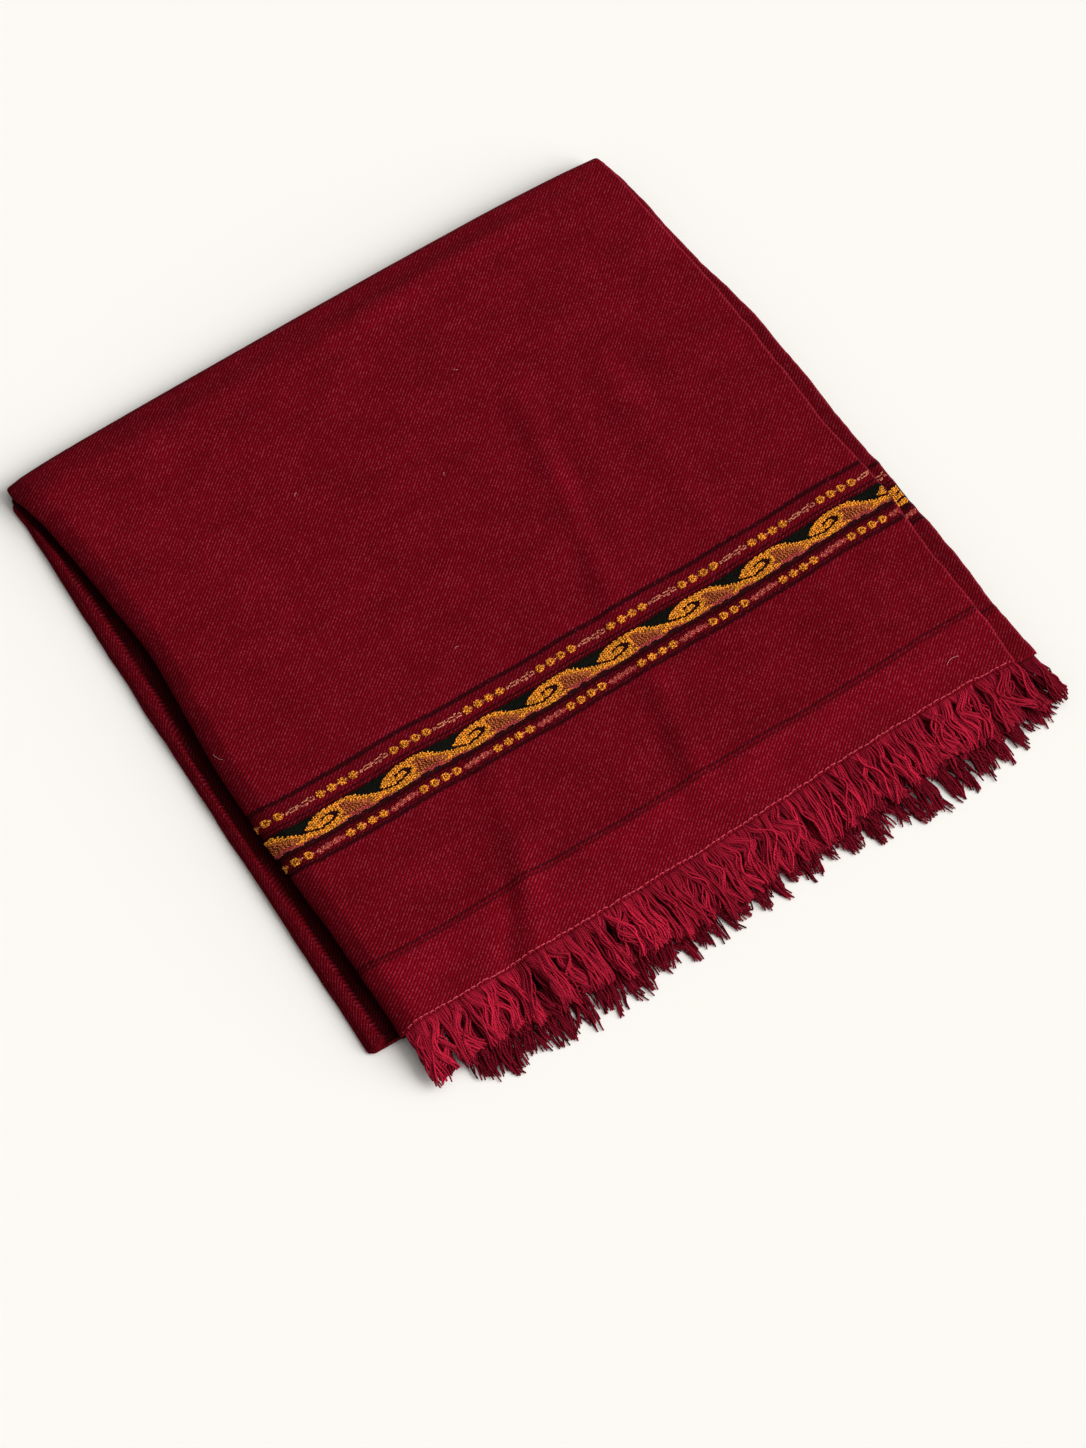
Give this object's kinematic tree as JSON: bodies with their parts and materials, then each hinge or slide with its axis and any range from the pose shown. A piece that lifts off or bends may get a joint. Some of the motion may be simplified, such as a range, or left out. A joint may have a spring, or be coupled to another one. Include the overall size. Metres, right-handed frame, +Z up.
{
  "type": "folded fringed shawl",
  "caption": "Twill wool shawl with a woven paisley border and fringed ends, folded in half and then twice into a flat square pack.",
  "frame": {"origin": "middle of the pack's footprint, on the surface that it rests on", "axes": "+X along the fringed hem towards the selvedges, +Y from the fringed hem to the rounded back fold, +Z up"},
  "size_m": [0.5502, 0.5856, 0.023],
  "materials": {
    "wool_cloth": "matt twill wool with a soft nap",
    "wool_fringe": "matt loose wool yarn",
    "border_yarn": "matt gold wool yarn"
  },
  "bodies": {
    "root": {"upper_leaf": "wool_cloth", "lower_folds": "wool_cloth", "upper_fringe": "wool_fringe", "return_fringe": "wool_fringe", "lower_fringe": "wool_fringe"}
  },
  "joints": []
}
